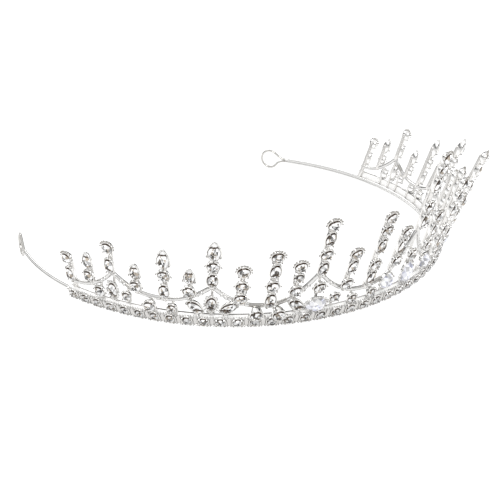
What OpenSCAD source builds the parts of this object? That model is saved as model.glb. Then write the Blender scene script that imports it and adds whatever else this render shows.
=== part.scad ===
/* [Plan of the headband] */
// Radius of the front arc, at the outer lower edge of the stone band
front_r = 75.5; // [68:0.5:82]
// Length along the band from the front centre to the end of the front arc
front_half = 91; // [80:1:100]
// Radius of the flatter side arcs that carry on behind the front arc
side_r = 95; // [85:1:120]
// Outward lean of the stone band, in degrees from upright
flare = 16; // [8:1:20]

/* [Stone band] */
// Number of stones in the band
band_count = 46; // [40:2:46]
// Distance from one band stone to the next
band_pitch = 5.16; // [5:0.02:5.3]
// Height of the band strip
band_h = 3.6; // [3.4:0.1:4.2]
// Thickness of the band strip behind the cups
band_t = 1.5; // [1.3:0.1:1.6]
// Diameter of a band stone
band_stone_d = 2.9; // [2.4:0.1:3]

/* [Headband wire] */
// Diameter of each of the two strands
strand_d = 0.95; // [0.8:0.05:1.1]
// Height of the pair's middle above the band's lower edge
wire_z = 1.2; // [1.1:0.1:1.5]
// Length along the band from the front centre to an eyelet's middle
eyelet_at = 165; // [155:1:170]
// Diameter of an eyelet, measured to the middle of its wire
eyelet_d = 7.8; // [7:0.1:8.4]

/* [Festoon wire] */
// Diameter of the scalloped wire that the spires stand on
festoon_d = 1.4; // [1.2:0.1:1.5]
// Height of its ends, at the last spires
festoon_end_h = 6; // [5:0.5:7]
// Length by which it runs on past the last spires
festoon_over = 0.9; // [0.7:0.1:1]
// Curve of each swag: 2 is an even sag, more is flatter below with steeper peaks
swag_power = 2.3; // [1.8:0.1:2.6]

/* [Stones] */
// Diameter of a round stone
round_d = 3.5; // [3:0.1:3.6]
// Diameter of a small round stone
small_d = 2.9; // [2.4:0.1:2.9]
// Width of an oval stone
oval_w = 3; // [2.6:0.1:3.2]
// Length of an oval stone
oval_l = 5.2; // [4.6:0.1:5.3]
// Width of a pear stone
pear_w = 3.2; // [2.8:0.1:3.4]
// Length of a pear stone
pear_l = 5.2; // [4.6:0.1:5.4]
// Width of the longer pear, at two of the tips on each side
long_pear_w = 3.6; // [3.2:0.1:3.8]
// Length of the longer pear
long_pear_l = 6.5; // [6:0.1:6.8]
// Height of a stone from its back to its table, as a share of its width
stone_rise = 0.34; // [0.28:0.02:0.4]
// Width of the metal rim that shows around a stone
rim = 0.32; // [0.25:0.01:0.36]

/* [Spires] */
// Diameter of a spire's bar at its foot
bar_foot_d = 1.9; // [1.5:0.1:2.1]
// Diameter of a spire's bar at its top
bar_top_d = 1.6; // [1.2:0.1:1.8]
// Diameter of the stems between the band and the festoon wire
stem_d = 0.9; // [0.8:0.1:1]

/* [Hidden] */
seat_gap = 0.1;             // air left between a stone or wire and what carries it
solder = 0.08;              // depth to which the two strands run into each other
sides = 8;                  // sides of every cut stone and cup
bar_sides = 5;
stem_sides = 4;
table_share = 0.58;         // width of a stone's table against the whole stone
cup_foot = 0.38;            // width of a cup's back against its front
plate_t = 0.3;              // front plate of a main stone's setting
cup_root_d = 0.6;           // where that setting runs into its stem
cup_root_share = 1 / 3;     // length of that root to each side, against the stone's length
pear_narrowing = 0.42;      // how much a pear stone narrows towards its point
band_cup_lift = 0.05;       // how far the rim of a band cup stays above the lower edge
foot_sink = 0.15;           // how far a bar's foot sinks below the middle of the festoon wire

// Depths, measured inwards from the leaning plane through the lower edge
band_front = 0.45;          // front faces of the band's cups
band_cup_t = 0.6;
band_face = 0.8;            // front of the strip between the cups
band_back = band_face + band_t;
bar_depth = 2.42;           // middle of the bars, stems and festoon wire
cup_front = 1.3;            // front faces of the cups on the spires
cup_back = 2.2;             // backs of all the cups above the band, in the bar or stem behind them

band_half = band_count * band_pitch / 2;
band_stone_h = band_stone_d / 2 + rim + band_cup_lift;
wire_inset = band_back * cos(flare) + seat_gap + strand_d / 2;

// A row for each spire from the centre out: [place along the band, outward lean in degrees,
// lean towards the front centre in degrees, stones], with the stones from the tip down
// as [cut, height above the band's lower edge]
SPIRE_ROWS = [
    [0,     16,   0,    [["round", 50.5], ["round", 46.2], ["oval", 41], ["round", 33], ["oval", 27.8]]],
    [8.7,   17,   -1.5, [["round", 26.6], ["oval", 21.4], ["round", 15.6]]],
    [18.1,  18.5, -0.9, [["round", 35.8], ["round", 30.9], ["oval", 25.2], ["round", 17.6], ["oval", 12.3]]],
    [27,    20.5, -1.1, [["round", 25.3], ["oval", 20], ["round", 12.8]]],
    [36.1,  20.8, 0.5,  [["round", 39.1], ["oval", 33.6], ["round", 27.4], ["oval", 21.6]]],
    [43.1,  19.5, 2.2,  [["round", 23.3], ["small", 18.6], ["round", 13.2]]],
    [50.4,  16.5, 4.4,  [["round", 26.6], ["oval", 21.1], ["round", 15.3], ["oval", 9.7]]],
    [59.4,  17.5, 5.2,  [["round", 21.9], ["round", 15.9], ["round", 11]]],
    [68,    19.7, 6.1,  [["long_pear", 30.8], ["round", 24.8], ["oval", 19.1]]],
    [74.7,  18.5, 6.9,  [["pear", 19.7], ["round", 13.7]]],
    [82.3,  16.3, 7.1,  [["long_pear", 25], ["round", 18.6], ["oval", 12.2]]],
    [91.6,  14.3, 7.3,  [["pear", 17.8], ["round", 12.1]]],
    [100.4, 13.3, 7.5,  [["round", 24.9], ["oval", 17.9]]],
    [109.1, 13.3, 8.4,  [["pear", 17.6], ["round", 11.5]]],
    [117.3, 15.5, 9.3,  [["round", 16.6], ["oval", 9.8]]]
];
AT = 0;
OUT_LEAN = 1;
SIDE_LEAN = 2;
STONES = 3;
CUT = 0;
HEIGHT = 1;

// Peaks of the festoon wire from the centre out: [place along the band, height]
PEAKS = [[0, 24.1], [36.1, 19], [68, 15.4], [100.4, 14.5]];
// Lowest height of the swag that follows each peak
SWAG_LOWS = [7.7, 6.8, 8];

// Stones between the festoon wire and the band, from the centre out:
// [place along the band, height, cut, turn in degrees, 1 if its stem goes up to the wire,
// depth of the front of its cup]
GARLAND_ROWS = [
    [10.3,  8.3,  "crystal", 0,   1, cup_front],
    [15.8,  5.4,  "small",   0,   1, cup_front],
    [23.3,  5.5,  "small",   0,   1, cup_front],
    [29.9,  7.9,  "small",   0,   0, cup_front],
    [35.8,  13.7, "round",   0,   0, cup_front],
    [42.1,  7.2,  "leaf",    -52, 0, cup_front],
    [47.6,  5.3,  "round",   0,   1, -0.6],
    [54.3,  5.6,  "round",   0,   1, -0.6],
    [62.7,  7.2,  "leaf",    52,  0, cup_front],
    [72.7,  7.3,  "leaf",    -52, 0, cup_front],
    [79.8,  5.5,  "small",   0,   1, cup_front],
    [86.8,  5.8,  "round",   0,   1, 0.5],
    [95,    7,    "small",   0,   1, cup_front],
    [105.3, 6.2,  "round",   0,   1, cup_front]
];
GARLAND_H = 1;
GARLAND_CUT = 2;
GARLAND_TURN = 3;
GARLAND_TALL = 4;
GARLAND_FRONT = 5;
centre_round_h = 14.8;

// The main stone under each peak, from the centre out: [place along the band, height, cut]
PALMETTE_ROWS = [[0, 7.9, "drop"], [35.8, 6.6, "broad"], [67.9, 9, "tall"], [100, 8.3, "tall"]];
PALMETTE_H = 1;
PALMETTE_CUT = 2;

// Cuts: [name, width, length]
CUTS = [
    ["band",      band_stone_d, band_stone_d],
    ["round",     round_d,      round_d],
    ["small",     small_d,      small_d],
    ["oval",      oval_w,       oval_l],
    ["pear",      pear_w,       pear_l],
    ["long_pear", long_pear_w,  long_pear_l],
    ["leaf",      2.9,          5.1],
    ["crystal",   4.8,          5],
    ["drop",      5.2,          7.6],
    ["broad",     6.4,          4.8],
    ["tall",      2.9,          5.8]
];
tip_stone_max = 2 * len(SPIRE_ROWS) - 1;
palmette_max = 2 * len(PALMETTE_ROWS) - 1;

// Signed row of a mirrored table: place 0 is the far left, the middle row is shared
function row_of(rows, place) = rows[abs(place - len(rows) + 1)];
function side_of(rows, place) = place < len(rows) - 1 ? -1 : 1;

function cut_row(cut) = CUTS[search([cut], CUTS)[0]];
function cut_w(cut) = cut_row(cut)[1];
function cut_l(cut) = cut_row(cut)[2];
function is_pear(cut) = cut == "pear" || cut == "long_pear";

// Direction of the band, in degrees, at a place along it
function heading(s) =
    sign(s) * (min(abs(s), front_half) / front_r + max(abs(s) - front_half, 0) / side_r) * 180 / PI;
turn_heading = heading(front_half);
side_centre = [(front_r - side_r) * sin(turn_heading), (side_r - front_r) * cos(turn_heading)];

// Point of the band's outer lower edge, moved inwards on the level by inset
function plan_point(s, inset = 0) =
    abs(s) <= front_half
    ? (front_r - inset) * [sin(heading(s)), -cos(heading(s))]
    : [sign(s) * side_centre.x, side_centre.y] + (side_r - inset) * [sin(heading(s)), -cos(heading(s))];

// Point on the band: place along it, height up the flare, depth inwards
function rim_point(s, h, depth) =
    let(
        outwards = h * sin(flare) - depth * cos(flare),
        p = plan_point(s, -outwards)
    )
    [p.x, p.y, h * cos(flare) + depth * sin(flare)];

// Outward lean, and lean towards the front centre, of what stands above the band
function out_lean(s) = lookup(abs(s), [for (row = SPIRE_ROWS) [row[AT], row[OUT_LEAN]]]);
function side_lean(s) = sign(s) * lookup(abs(s), [for (row = SPIRE_ROWS) [row[AT], row[SIDE_LEAN]]]);

// Point above the band, with the leans of the casting at that place
function spray_point(s, h, depth) =
    let(
        out = out_lean(s),
        side = side_lean(s),
        up = h * cos(side),
        f = heading(s),
        p = plan_point(s, depth * cos(out) - up * sin(out)) - h * sin(side) * [cos(f), sin(f)]
    )
    [p.x, p.y, up * cos(out) + depth * sin(out)];

// The eyelets reach below the band, so the piece stands on them and on the front of the band
eyelet_drop = (eyelet_d + strand_d) / 2 - wire_z;
seat_tilt = atan(eyelet_drop / (plan_point(eyelet_at, wire_inset).y + front_r));

// Height of the festoon wire at a place along the band
function swag(u, low, left, right) = low + ((u < 0 ? left : right) - low) * pow(abs(u), swag_power);
function festoon_h(s) =
    let(
        a = abs(s),
        k = max([for (i = [0:len(PEAKS) - 1]) if (a >= PEAKS[i].x) i])
    )
    k < len(PEAKS) - 1
    ? let(mid = (PEAKS[k].x + PEAKS[k + 1].x) / 2, half = (PEAKS[k + 1].x - PEAKS[k].x) / 2)
      swag((a - mid) / half, SWAG_LOWS[k], PEAKS[k].y, PEAKS[k + 1].y)
    : swag((a - last_spire_at) / (last_spire_at - PEAKS[k].x), festoon_end_h, PEAKS[k].y, PEAKS[k].y);
last_spire_at = SPIRE_ROWS[len(SPIRE_ROWS) - 1][AT];

// Outline of a cut stone, grown outwards by grow
function cut_outline(cut, grow = 0) =
    let(a = cut_w(cut) / 2 + grow, b = cut_l(cut) / 2 + grow)
    [for (i = [0:sides - 1])
        let(
            t = (i + 0.5) * 360 / sides,
            narrow = is_pear(cut) && sin(t) > 0 ? 1 - pear_narrowing * sin(t) : 1
        )
        [a * cos(t) * narrow, b * sin(t)] / cos(180 / sides)];

// Stands the piece on the table it rests on
module seated() {
    translate([0, -front_r, 0])
    rotate([seat_tilt, 0, 0])
    translate([0, front_r, 0])
    children();
}

// Puts children on the band: X along it, Z up the flare, -Y out of the front
module on_rim(s, h, depth) {
    translate(rim_point(s, h, depth))
    rotate([0, 0, heading(s)])
    rotate([flare, 0, 0])
    children();
}

// Puts children above the band, with Z up the spire at that place
module on_spray(s, h, depth) {
    translate(spray_point(s, h, depth))
    rotate([0, 0, heading(s)])
    rotate([out_lean(s), 0, 0])
    rotate([0, -side_lean(s), 0])
    children();
}

// A stone with a table, a ring of crown facets and a flat back, table facing -Y
module cut_stone(cut) {
    girdle = cut_outline(cut);
    rise = min(cut_w(cut), cut_l(cut)) * stone_rise;
    points = concat(
        [for (p = girdle) [p.x, 0, p.y]],
        [for (p = girdle) [p.x * table_share, -rise, p.y * table_share]]
    );
    faces = concat(
        [[for (i = [0:sides - 1]) i]],
        [[for (i = [sides - 1:-1:0]) sides + i]],
        [for (i = [0:sides - 1]) [sides + i, sides + (i + 1) % sides, (i + 1) % sides, i]]
    );
    polyhedron(points, faces);
}

module spray_stone(cut, s, h, turn = 0, front = cup_front) {
    on_spray(s, h, front - seat_gap)
    rotate([0, turn, 0])
    cut_stone(cut);
}

// A cup that narrows towards the metal behind it, front face towards -Y
module cup(cut, depth) {
    rotate([-90, 0, 0])
    linear_extrude(depth, scale = cup_foot)
    mirror([0, 1])
    polygon(cut_outline(cut, rim));
}

module spray_cup(cut, s, h, turn = 0, front = cup_front) {
    on_spray(s, h, front)
    rotate([0, turn, 0])
    cup(cut, cup_back - front);
}

// The setting of a main stone, drawn back into the stem behind it
module palmette_cup(cut, s, h) {
    root = cut_l(cut) * cup_root_share;
    hull() {
        on_spray(s, h, cup_front)
        rotate([-90, 0, 0])
        linear_extrude(plate_t)
        mirror([0, 1])
        polygon(cut_outline(cut, rim));
        rod(s, h - root, h + root, cup_root_d, cup_root_d, stem_sides);
    }
}

// A straight rod up the casting from one height to another
module rod(s, h_low, h_high, d_low, d_high, sides) {
    on_spray(s, h_low, bar_depth)
    rotate([0, 0, -90])
    linear_extrude(h_high - h_low, scale = d_high / d_low)
    circle(d = d_low, $fn = sides);
}

// The upright strip behind the band's cups
module band_strip() {
    rows = [for (k = [0:band_count])
        let(s = -band_half + k * band_pitch)
        [rim_point(s, -band_face * tan(flare), band_face), rim_point(s, -band_back * tan(flare), band_back),
         rim_point(s, band_h, band_back), rim_point(s, band_h, band_face)]];
    swept(rows);
}

// Closed solid through a list of rings that each hold the same number of points
module swept(rings) {
    n = len(rings[0]);
    last = len(rings) - 1;
    points = [for (ring = rings) each ring];
    faces = concat(
        [[for (j = [0:n - 1]) j]],
        [for (i = [0:last - 1]) for (j = [0:n - 1])
            [i * n + j, (i + 1) * n + j, (i + 1) * n + (j + 1) % n, i * n + (j + 1) % n]],
        [[for (j = [0:n - 1]) last * n + n - 1 - j]]
    );
    polyhedron(points, faces);
}

// The scalloped wire, from the first spire to the last
module festoon_wire() {
    steps_per_swag = 6;
    near = 0.4;
    stops = concat([last_spire_at + festoon_over], [for (k = [len(PEAKS) - 1:-1:1]) PEAKS[k].x]);
    half = [for (k = [0:len(stops) - 1])
        let(
            next = k < len(stops) - 1 ? stops[k + 1] : 0,
            n = k == 0 ? ceil(steps_per_swag / 2) : steps_per_swag
        )
        for (i = [0:n - 1]) stops[k] + (next - stops[k]) * i / n];
    places = concat([for (s = half) -s], [0], [for (i = [len(half) - 1:-1:0]) half[i]]);
    swept([for (s = places)
        let(
            h = festoon_h(s),
            slope = (festoon_h(s + near) - festoon_h(s - near)) / (2 * near),
            tilt = atan(slope)
        )
        [for (j = [0:bar_sides - 1])
            let(t = j * 360 / bar_sides, up = festoon_d / 2 * cos(t))
            spray_point(s - up * sin(tilt), h + up * cos(tilt), bar_depth - festoon_d / 2 * sin(t))]]);
}

// All the soldered and cast metal above the headband
module crown_frame() {
    color("silver")
    seated()
    union() {
        band_strip();
        for (k = [0:band_count - 1])
            on_rim(-band_half + (k + 0.5) * band_pitch, band_stone_h, band_front)
            cup("band", band_cup_t);
        festoon_wire();
        for (place = [0:tip_stone_max - 1]) {
            row = row_of(SPIRE_ROWS, place);
            s = side_of(SPIRE_ROWS, place) * row[AT];
            foot = row[AT] == last_spire_at ? band_h / 2 : festoon_h(s) - foot_sink;
            rod(s, foot, row[STONES][0][HEIGHT], bar_foot_d, bar_top_d, bar_sides);
            for (stone = row[STONES])
                spray_cup(stone[CUT], s, stone[HEIGHT]);
        }
        for (row = GARLAND_ROWS, side = [-1, 1]) {
            s = side * row[AT];
            stem_top = row[GARLAND_TALL] == 1 ? festoon_h(s) : row[GARLAND_H];
            rod(s, band_h / 2, stem_top, stem_d, stem_d, stem_sides);
            spray_cup(row[GARLAND_CUT], s, row[GARLAND_H], -side * row[GARLAND_TURN], row[GARLAND_FRONT]);
        }
        palmette_cup("round", 0, centre_round_h);
        for (place = [0:palmette_max - 1]) {
            row = row_of(PALMETTE_ROWS, place);
            s = side_of(PALMETTE_ROWS, place) * row[AT];
            rod(s, band_h / 2, festoon_h(s), stem_d, stem_d, stem_sides);
            palmette_cup(row[PALMETTE_CUT], s, row[PALMETTE_H]);
        }
    }
}

// The front arc of the headband: two round strands, one soldered above the other
module front_wire() {
    color("gainsboro")
    seated()
    translate([0, 0, wire_z])
    strand_pair(front_r - wire_inset, -turn_heading, turn_heading);
}

// The bare arm of the headband, from the end of the front arc to the eyelet
module side_wire(side) {
    start = heading(front_half + seat_gap);
    // the wire runs on a smaller arc than the band's edge, along which places are measured
    eyelet_reach = (eyelet_d / 2 + strand_d / 2 + 2 * seat_gap) * side_r / (side_r - wire_inset);
    end = heading(eyelet_at - eyelet_reach);
    color("gainsboro")
    seated()
    translate([side * side_centre.x, side_centre.y, wire_z])
    strand_pair(side_r - wire_inset, side < 0 ? -end : start, side < 0 ? -start : end);
}

module side_wire_left() {
    side_wire(-1);
}

module side_wire_right() {
    side_wire(1);
}

// One arc of the soldered pair: radius to its middle, first and last heading
module strand_pair(r, from, to) {
    rotate([0, 0, from - 90])
    rotate_extrude(angle = to - from, $fn = 64)
    translate([r, 0])
    for (level = [-1, 1])
        translate([0, level * (strand_d - solder) / 2])
        circle(d = strand_d, $fn = 24);
}

// The ring of wire that ends the headband, upright and in line with it
module eyelet(side) {
    p = plan_point(side * eyelet_at, wire_inset);
    color("gainsboro")
    seated()
    translate([p.x, p.y, wire_z])
    rotate([90, 0, heading(side * eyelet_at)])
    rotate_extrude($fn = 64)
    translate([eyelet_d / 2, 0])
    circle(d = strand_d, $fn = 24);
}

module eyelet_left() {
    eyelet(-1);
}

module eyelet_right() {
    eyelet(1);
}

module band_stones() {
    color("whitesmoke")
    seated()
    for (k = [0:band_count - 1])
        on_rim(-band_half + (k + 0.5) * band_pitch, band_stone_h, band_front - seat_gap)
        cut_stone("band");
}

// Every stone of the spires below its tip stone
module spire_stones() {
    color("whitesmoke")
    seated()
    for (place = [0:tip_stone_max - 1]) {
        row = row_of(SPIRE_ROWS, place);
        for (k = [1:len(row[STONES]) - 1])
            spray_stone(row[STONES][k][CUT], side_of(SPIRE_ROWS, place) * row[AT], row[STONES][k][HEIGHT]);
    }
}

module tip_stone(place) {
    row = row_of(SPIRE_ROWS, place);
    color("whitesmoke")
    seated()
    spray_stone(row[STONES][0][CUT], side_of(SPIRE_ROWS, place) * row[AT], row[STONES][0][HEIGHT]);
}

module garland_stones() {
    color("whitesmoke")
    seated() {
        for (row = GARLAND_ROWS, side = [-1, 1]) {
            turn = -side * row[GARLAND_TURN];
            spray_stone(row[GARLAND_CUT], side * row[AT], row[GARLAND_H], turn, row[GARLAND_FRONT]);
        }
        spray_stone("round", 0, centre_round_h);
    }
}

module palmette_stone(place) {
    row = row_of(PALMETTE_ROWS, place);
    color("aliceblue")
    seated()
    spray_stone(row[PALMETTE_CUT], side_of(PALMETTE_ROWS, place) * row[AT], row[PALMETTE_H]);
}

function numbered(stem, n) = str(stem, n < 9 ? "0" : "", n + 1);

front_wire();
side_wire_left();
side_wire_right();
eyelet_left();
eyelet_right();
crown_frame();
band_stones();
spire_stones();
garland_stones();
for (n = [0:tip_stone_max - 1])
    tip_stone(n);
for (n = [0:palmette_max - 1])
    palmette_stone(n);
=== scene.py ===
"""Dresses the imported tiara: settings, wires, cut stones, their finishes and the studio."""

import math
import random

import bmesh
import bpy
from bpy.props import FloatProperty, FloatVectorProperty, IntProperty, PointerProperty
from mathutils import Matrix, Vector


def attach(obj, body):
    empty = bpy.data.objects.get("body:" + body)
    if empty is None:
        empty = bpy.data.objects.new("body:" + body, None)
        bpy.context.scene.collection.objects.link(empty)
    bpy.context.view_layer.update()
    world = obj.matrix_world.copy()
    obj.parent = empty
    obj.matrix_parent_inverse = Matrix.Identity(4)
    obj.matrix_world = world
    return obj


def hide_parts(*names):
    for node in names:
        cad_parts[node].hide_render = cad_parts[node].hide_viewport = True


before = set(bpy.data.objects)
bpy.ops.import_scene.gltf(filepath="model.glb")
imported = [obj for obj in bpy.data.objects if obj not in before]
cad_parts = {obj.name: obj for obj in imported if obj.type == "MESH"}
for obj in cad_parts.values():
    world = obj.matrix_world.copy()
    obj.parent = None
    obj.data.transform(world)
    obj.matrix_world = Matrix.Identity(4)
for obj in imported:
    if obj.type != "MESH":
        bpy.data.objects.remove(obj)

bl_info = {
    "name": "Stone-Set Tiara",
    "version": (1, 0, 0),
    "blender": (4, 5, 0),
    "location": "View3D > Sidebar > Tiara",
    "description": "Builds the settings, wires, stones and studio of a tiara on a wire headband",
    "category": "Add Mesh",
}

# Lengths below are in millimetres, as in the solids, and MM takes them to metres
MM = 0.001
BODY = "root"

# Plan of the headband
FRONT_R = 75.5
FRONT_HALF = 91.0
SIDE_R = 95.0
FLARE = math.radians(16)
TURN = FRONT_HALF / FRONT_R
SIDE_CENTRE = ((FRONT_R - SIDE_R) * math.sin(TURN), (SIDE_R - FRONT_R) * math.cos(TURN))

# Air left between a stone or wire and what carries it in the solids
SEAT_GAP = 0.1
# Wall of a setting round its stone
RIM = 0.32

# Stone band, with depths measured inwards from the leaning plane through its lower edge
BAND_COUNT = 46
BAND_PITCH = 5.16
BAND_H = 3.6
BAND_T = 1.5
BAND_FRONT = 0.45
BAND_FACE = 0.8
BAND_BACK = BAND_FACE + BAND_T
BAND_HALF = BAND_COUNT * BAND_PITCH / 2
BAND_STONE_D = 2.9
BAND_CUP_LIFT = 0.05
BAND_CUP_T = 0.9
BAND_STONE_H = BAND_STONE_D / 2 + RIM + BAND_CUP_LIFT
BAND_SOFTENING = 0.22
# Places along the band, two for each stone
BAND_PLACES = tuple(i * BAND_PITCH / 2 - BAND_HALF for i in range(2 * BAND_COUNT + 1))
# Bright wire along the upper back edge, painted darker along part of the band as a painted reflection of
# something dark
BACK_EDGE_R = 0.17
BACK_EDGE_INSET = 0.2
DARK_EDGE_FROM, DARK_EDGE_TO = 38, 88

# Square stud between two band stones, as levels of (depth, width against the whole)
STUD_HALF_W = 0.72
STUD_HALF_H = 1.5
STUD_LEVELS = ((BAND_FACE + 0.3, 1.0), (BAND_FACE - 0.25, 1.0), (BAND_FACE - 0.48, 0.72), (0.24, 0.3))
# How far the studs at the ends of the band are moved onto it
END_STUD_SHIFT = 0.35
# Claws at a stud's corners
CLAW_X = 0.5
CLAW_LOW, CLAW_HIGH = -1.42, 1.3
CLAW_R = 0.2

# Headband wire
STRAND_D = 0.95
# Depth to which the two strands run into each other, and half the height from one to the other
SOLDER = 0.08
STRAND_LEVEL = (STRAND_D - SOLDER) / 2
WIRE_Z = 1.2
WIRE_INSET = BAND_BACK * math.cos(FLARE) + SEAT_GAP + STRAND_D / 2
EYELET_AT = 165.0
EYELET_R = 3.9
# Distances from the middle of an eyelet at which its loop begins and the even strands end
EYELET_NECK = 7.6
STRAND_END = 8.0

# Festoon wire, bars and the cups on them
FESTOON_R = 0.7
FESTOON_END_H = 6.0
FESTOON_OVER = 0.9
BEAD_GAPS = (3.0, 4.3)
BEAD_R = 0.72
BAR_DEPTH = 2.42
BAR_FOOT_R = 0.95
BAR_TOP_R = 0.8
STEM_R = 0.45
CUP_FRONT = 1.3
CUP_BACK = 2.8

# Spires from the centre out: place along the band, outward lean, lean towards the front centre,
# then stones from the tip down as (cut, height)
SPIRE_ROWS = (
    (0, 16, 0, (("round", 50.5), ("round", 46.2), ("oval", 41), ("round", 33), ("oval", 27.8))),
    (8.7, 17, -1.5, (("round", 26.6), ("oval", 21.4), ("round", 15.6))),
    (18.1, 18.5, -0.9, (("round", 35.8), ("round", 30.9), ("oval", 25.2), ("round", 17.6), ("oval", 12.3))),
    (27, 20.5, -1.1, (("round", 25.3), ("oval", 20), ("round", 12.8))),
    (36.1, 20.8, 0.5, (("round", 39.1), ("oval", 33.6), ("round", 27.4), ("oval", 21.6))),
    (43.1, 19.5, 2.2, (("round", 23.3), ("small", 18.6), ("round", 13.2))),
    (50.4, 16.5, 4.4, (("round", 26.6), ("oval", 21.1), ("round", 15.3), ("oval", 9.7))),
    (59.4, 17.5, 5.2, (("round", 21.9), ("round", 15.9), ("round", 11))),
    (68, 19.7, 6.1, (("long_pear", 30.8), ("round", 24.8), ("oval", 19.1))),
    (74.7, 18.5, 6.9, (("pear", 19.7), ("round", 13.7))),
    (82.3, 16.3, 7.1, (("long_pear", 25), ("round", 18.6), ("oval", 12.2))),
    (91.6, 14.3, 7.3, (("pear", 17.8), ("round", 12.1))),
    (100.4, 13.3, 7.5, (("round", 24.9), ("oval", 17.9))),
    (109.1, 13.3, 8.4, (("pear", 17.6), ("round", 11.5))),
    (117.3, 15.5, 9.3, (("round", 16.6), ("oval", 9.8))),
)
OUT_LEAN, SIDE_LEAN = 1, 2
LAST_SPIRE_AT = SPIRE_ROWS[-1][0]

# Peaks of the festoon wire as (place, height), and the lowest height of the swag after each
PEAKS = ((0, 24.1), (36.1, 19), (68, 15.4), (100.4, 14.5))
SWAG_LOWS = (7.7, 6.8, 8)
SWAG_POWER = 2.3
# Stretches of the festoon wire painted darker, a painted reflection of something dark
WIRE_DARK_REFLECTIONS = ((-97.5, -94), (-57, -52.5), (-48.5, -45.5), (-15.5, -12), (45.5, 48.5), (94, 97.5))

# Garland stones: place, height, cut, turn in degrees, whether the stem goes up to the wire,
# and the depth of the front of the cup
GARLAND_ROWS = (
    (10.3, 8.3, "crystal", 0, True, CUP_FRONT),
    (15.8, 5.4, "small", 0, True, CUP_FRONT),
    (23.3, 5.5, "small", 0, True, CUP_FRONT),
    (29.9, 7.9, "small", 0, False, CUP_FRONT),
    (35.8, 13.7, "round", 0, False, CUP_FRONT),
    (42.1, 7.2, "leaf", -45, False, CUP_FRONT),
    (47.6, 5.3, "round", 0, True, -0.6),
    (54.3, 5.6, "round", 0, True, -0.6),
    (62.7, 7.2, "leaf", 45, False, CUP_FRONT),
    (72.7, 7.3, "leaf", -45, False, CUP_FRONT),
    (79.8, 5.5, "small", 0, True, CUP_FRONT),
    (86.8, 5.8, "round", 0, True, 0.5),
    (95, 7, "small", 0, True, CUP_FRONT),
    (105.3, 6.2, "round", 0, True, CUP_FRONT),
)
CENTRE_ROUND_H = 14.8

# Main stone under each peak: place, height, cut
PALMETTE_ROWS = ((0, 7.9, "drop"), (35.8, 6.6, "broad"), (67.9, 9, "tall"), (100, 8.3, "tall"))

# Width and length of each cut
CUTS = {
    "band": (BAND_STONE_D, BAND_STONE_D),
    "round": (3.5, 3.5),
    "small": (2.9, 2.9),
    "oval": (3.0, 5.2),
    "pear": (3.2, 5.2),
    "long_pear": (3.6, 6.5),
    "leaf": (2.9, 5.1),
    "crystal": (4.8, 5.0),
    "drop": (5.2, 7.6),
    "broad": (6.4, 4.8),
    "tall": (2.9, 5.8),
}
CLEAR_CUTS = ("crystal", "drop", "broad")
PEARS = ("pear", "long_pear")
PEAR_NARROWING = 0.42
# Power below one that squares the outline of a cut
CUSHION_POWER = {"crystal": 0.8, "drop": 0.92, "broad": 0.9}
# How much fuller the cut and its setting are than the plain solids
PLAIN_SWELL = 1.035
SWELL = {
    "round": 1.06, "small": 1.08, "oval": 1.05, "pear": 1.06, "long_pear": 1.06, "leaf": 1.13, "tall": 1.06,
}

# Cut stones, against their width: height of the table, depth of the point, width of the table
STONE_RISE = 0.34
STONE_SINK = 0.3
TABLE_SHARE = 0.58
# Main facets round a stone
MAINS = 8

# Prongs of each setting: angle from the right, in degrees, and how far the tip stands out
EVEN_PRONGS = tuple((22.5 + 45 * k, 0.2) for k in range(8))
PEAR_PRONGS = ((205, 0.12), (335, 0.12), (270, 0.1))
PRONGS = {
    "tip": ((2, 0.52), (178, 0.52), (232, 0.1), (308, 0.1)),
    "round": ((4, 0.52), (176, 0.52), (52, 0.12), (128, 0.12), (232, 0.1), (308, 0.1)),
    "oval": ((58, 0.12), (122, 0.12), (238, 0.12), (302, 0.12)),
    "pear": PEAR_PRONGS,
    "long_pear": PEAR_PRONGS,
    "small": ((45, 0.1), (135, 0.1), (225, 0.1), (315, 0.1)),
    "leaf": ((60, 0.1), (120, 0.1), (240, 0.1), (300, 0.1)),
    "band": ((48, 0.0), (132, 0.0), (222, 0.02), (318, 0.02)),
    "crystal": EVEN_PRONGS,
    "drop": EVEN_PRONGS,
    "broad": EVEN_PRONGS,
    "tall": ((56, 0.95), (124, 0.95), (180, 0.12), (0, 0.12), (242, 0.15), (298, 0.15)),
}
# A prong that reaches this far stands straight out as an ear, and any other bends over the stone
EAR_REACH = 0.5
# Thickness of a prong at its tip, against the rest
PRONG_TAPER = 0.92
# Grains round a setting, by their angles in degrees
RING = tuple(20 * k for k in range(18))
CROWN_GRAINS = {
    "tip": (26, 48, 69, 90, 111, 132, 154),
    "pear": (38, 56, 74, 90, 106, 124, 142),
    "long_pear": (30, 46, 62, 77, 90, 103, 118, 134, 150),
    "drop": RING,
    "broad": RING,
    "tall": RING,
}
# How far those grains stand off the wall, how much larger they are for it, and their depth
GRAIN_STAND = {"tip": 0.3, "pear": 0.05, "long_pear": 0.05, "drop": 0.3, "broad": 0.3, "tall": 0.34}
GRAIN_SWELL = 0.2
GRAIN_DEPTH = -0.2

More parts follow.
